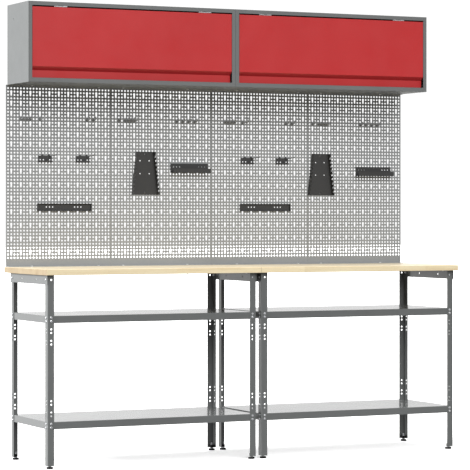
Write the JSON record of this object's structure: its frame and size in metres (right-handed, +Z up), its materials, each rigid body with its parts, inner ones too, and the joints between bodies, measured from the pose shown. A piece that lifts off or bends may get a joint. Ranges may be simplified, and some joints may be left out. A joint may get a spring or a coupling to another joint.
{
  "type": "workbench",
  "caption": "Double workbench with wooden tops, open shelves, perforated tool panels and flap-door wall cabinets above.",
  "frame": {"origin": "on the floor, under the centre of the double bench", "axes": "+X to the user's right, +Y to the rear, +Z up"},
  "size_m": [2.013, 0.525, 2],
  "materials": {
    "worktop_wood": "clear satin lacquer over jointed solid wood staves",
    "grey_steel": "satin grey powder coat",
    "panel_grey": "satin grey powder coat",
    "cabinet_grey": "satin grey powder coat",
    "door_red": "semi-gloss red powder coat",
    "black_steel": "fine black powder coat",
    "black_plastic": "fine moulded texture",
    "zinc": "bright zinc plate"
  },
  "bodies": {
    "root": {"worktop_left": "worktop_wood", "leg_left_front_outer": "grey_steel", "leg_left_front_inner": "grey_steel", "leg_left_rear_outer": "grey_steel", "leg_left_rear_inner": "grey_steel", "side_rail_left_outer": "grey_steel", "side_rail_left_inner": "grey_steel", "upper_shelf_left": "grey_steel", "lower_shelf_left": "grey_steel", "cabinet_left_top": "cabinet_grey", "cabinet_left_bottom": "cabinet_grey", "cabinet_left_sides": "cabinet_grey", "cabinet_left_back": "cabinet_grey", "worktop_right": "worktop_wood", "leg_right_front_inner": "grey_steel", "leg_right_front_outer": "grey_steel", "leg_right_rear_inner": "grey_steel", "leg_right_rear_outer": "grey_steel", "side_rail_right_outer": "grey_steel", "side_rail_right_inner": "grey_steel", "upper_shelf_right": "grey_steel", "lower_shelf_right": "grey_steel", "cabinet_right_top": "cabinet_grey", "cabinet_right_bottom": "cabinet_grey", "cabinet_right_sides": "cabinet_grey", "cabinet_right_back": "cabinet_grey", "foot_blocks": "black_plastic", "frame_bolts": "zinc", "worktop_screws": "zinc", "pegboard_1": "panel_grey", "pegboard_2": "panel_grey", "pegboard_3": "panel_grey", "pegboard_4": "panel_grey", "panel_fixings": "zinc", "cabinet_hardware": "zinc", "spanner_rack_left": "black_steel", "spanner_rack_right": "black_steel", "tool_tray_left": "black_steel", "tool_tray_right": "black_steel", "bar_holder_left": "black_steel", "bar_holder_right": "black_steel", "small_holders": "black_steel", "panel_hooks": "grey_steel"},
    "foot_left_1": {"foot_left_1": "black_plastic"},
    "foot_left_2": {"foot_left_2": "black_plastic"},
    "foot_left_3": {"foot_left_3": "black_plastic"},
    "foot_left_4": {"foot_left_4": "black_plastic"},
    "door_left": {"cabinet_door_left": "door_red", "door_hardware_left": "zinc"},
    "struts_left": {"strut_cylinders_left": "black_steel"},
    "rods_left": {"strut_rods_left": "zinc"},
    "foot_right_1": {"foot_right_1": "black_plastic"},
    "foot_right_2": {"foot_right_2": "black_plastic"},
    "foot_right_3": {"foot_right_3": "black_plastic"},
    "foot_right_4": {"foot_right_4": "black_plastic"},
    "door_right": {"cabinet_door_right": "door_red", "door_hardware_right": "zinc"},
    "struts_right": {"strut_cylinders_right": "black_steel"},
    "rods_right": {"strut_rods_right": "zinc"}
  },
  "joints": [
    {"name": "foot_left_1_screw", "type": "slide", "parent": "root", "child": "foot_left_1", "axis": [0, 0, 1], "range_m": [-0.012, 0]},
    {"name": "foot_left_2_screw", "type": "slide", "parent": "root", "child": "foot_left_2", "axis": [0, 0, 1], "range_m": [-0.012, 0]},
    {"name": "foot_left_3_screw", "type": "slide", "parent": "root", "child": "foot_left_3", "axis": [0, 0, 1], "range_m": [-0.012, 0]},
    {"name": "foot_left_4_screw", "type": "slide", "parent": "root", "child": "foot_left_4", "axis": [0, 0, 1], "range_m": [-0.012, 0]},
    {"name": "door_left_hinge", "type": "hinge", "parent": "root", "child": "door_left", "pos_m": [-0.496, 0.002, 1.9796], "axis": [-1, 0, 0], "range_deg": [0, 88]},
    {"name": "struts_left_swing", "type": "hinge", "parent": "root", "child": "struts_left", "pos_m": [-0.496, 0.187, 1.9346], "axis": [-1, 0, 0], "range_deg": [0, 10.2]},
    {"name": "rods_left_slide", "type": "slide", "parent": "struts_left", "child": "rods_left", "axis": [0, -0.9958, -0.0916], "range_m": [0, 0.0816]},
    {"name": "foot_right_1_screw", "type": "slide", "parent": "root", "child": "foot_right_1", "axis": [0, 0, 1], "range_m": [-0.012, 0]},
    {"name": "foot_right_2_screw", "type": "slide", "parent": "root", "child": "foot_right_2", "axis": [0, 0, 1], "range_m": [-0.012, 0]},
    {"name": "foot_right_3_screw", "type": "slide", "parent": "root", "child": "foot_right_3", "axis": [0, 0, 1], "range_m": [-0.012, 0]},
    {"name": "foot_right_4_screw", "type": "slide", "parent": "root", "child": "foot_right_4", "axis": [0, 0, 1], "range_m": [-0.012, 0]},
    {"name": "door_right_hinge", "type": "hinge", "parent": "root", "child": "door_right", "pos_m": [0.496, 0.002, 1.9796], "axis": [-1, 0, 0], "range_deg": [0, 88]},
    {"name": "struts_right_swing", "type": "hinge", "parent": "root", "child": "struts_right", "pos_m": [0.496, 0.187, 1.9346], "axis": [-1, 0, 0], "range_deg": [0, 10.2]},
    {"name": "rods_right_slide", "type": "slide", "parent": "struts_right", "child": "rods_right", "axis": [0, -0.9958, -0.0916], "range_m": [0, 0.0816]}
  ],
  "couplings": [
    {"joint": "struts_left_swing", "follows": "door_left_hinge", "ratio": 0.11539},
    {"joint": "rods_left_slide", "follows": "door_left_hinge", "m_per_rad": 0.052999},
    {"joint": "struts_right_swing", "follows": "door_right_hinge", "ratio": 0.11539},
    {"joint": "rods_right_slide", "follows": "door_right_hinge", "m_per_rad": 0.052999}
  ]
}
